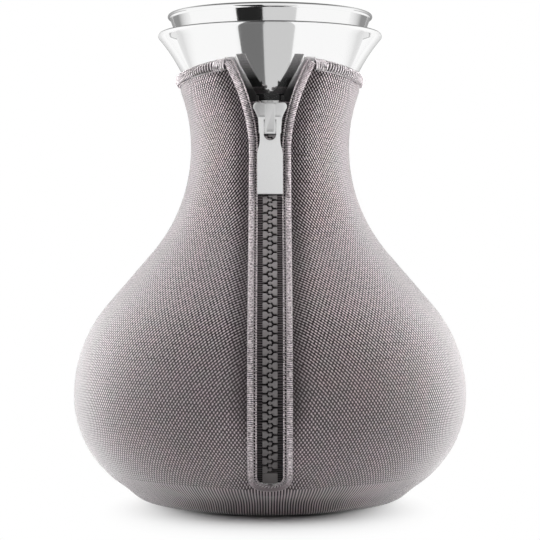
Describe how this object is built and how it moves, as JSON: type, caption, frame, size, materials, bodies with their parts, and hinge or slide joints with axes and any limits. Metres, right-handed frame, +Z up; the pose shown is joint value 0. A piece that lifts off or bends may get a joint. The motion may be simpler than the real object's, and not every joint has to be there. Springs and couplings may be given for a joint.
{
  "type": "tea maker",
  "caption": "Glass tea carafe with a pear-shaped body in a zipped woven cover, with a steel pouring funnel, a filter tube and a plunger in its neck.",
  "frame": {"origin": "centre of the base, on the surface it stands on", "axes": "+Z up along the carafe's axis; -Y is the front, with the zip"},
  "size_m": [0.1698, 0.17, 0.211],
  "materials": {
    "clear_glass": "clear, polished",
    "woven_cover": "plain weave, matt",
    "edging": "folded and stitched",
    "zip_tape": "ribbed tape",
    "zip_plastic": "moulded",
    "satin_zinc": "satin plated die casting",
    "polished_steel": "polished",
    "black_silicone": "matt",
    "black_nylon": "moulded, fine grain"
  },
  "bodies": {
    "carafe": {"glass_carafe": "clear_glass", "cover_left_panel": "woven_cover", "cover_right_panel": "woven_cover", "cover_base": "woven_cover", "back_seam": "edging", "neck_hem": "edging", "zip_piping": "edging", "zip_tape_left": "zip_tape", "zip_tape_right": "zip_tape", "zip_teeth_left": "zip_plastic", "zip_teeth_right": "zip_plastic", "zip_top_stop_left": "zip_plastic", "zip_top_stop_right": "zip_plastic", "zip_bottom_stop": "zip_plastic"},
    "slider": {"slider_body": "satin_zinc", "slider_bridge": "satin_zinc"},
    "puller": {"zip_puller": "satin_zinc"},
    "lid": {"pouring_funnel": "polished_steel", "funnel_seal": "black_silicone", "filter_tube": "polished_steel", "guide_spider": "black_nylon"},
    "plunger": {"plunger_knob": "black_nylon", "plunger_rod": "polished_steel", "plunger_disc": "polished_steel", "plunger_seal": "black_silicone", "plunger_nut": "polished_steel"}
  },
  "joints": [
    {"name": "lid_lift", "type": "slide", "parent": "carafe", "child": "lid", "axis": [0, 0, 1], "range_m": [0, 0.2]},
    {"name": "plunger_slide", "type": "slide", "parent": "lid", "child": "plunger", "axis": [0, 0, 1], "range_m": [0, 0.11]},
    {"name": "slider_run", "type": "hinge", "parent": "carafe", "child": "slider", "pos_m": [0, -0.1044, 0.153], "axis": [-1, 0, 0], "range_deg": [0, 44], "deforming": ["zip_teeth_left", "zip_teeth_right", "zip_tape_left", "zip_tape_right"]},
    {"name": "puller_flip", "type": "hinge", "parent": "slider", "child": "puller", "pos_m": [0, -0.03788, 0.16319], "axis": [-1, 0, 0], "range_deg": [0, 150]}
  ]
}
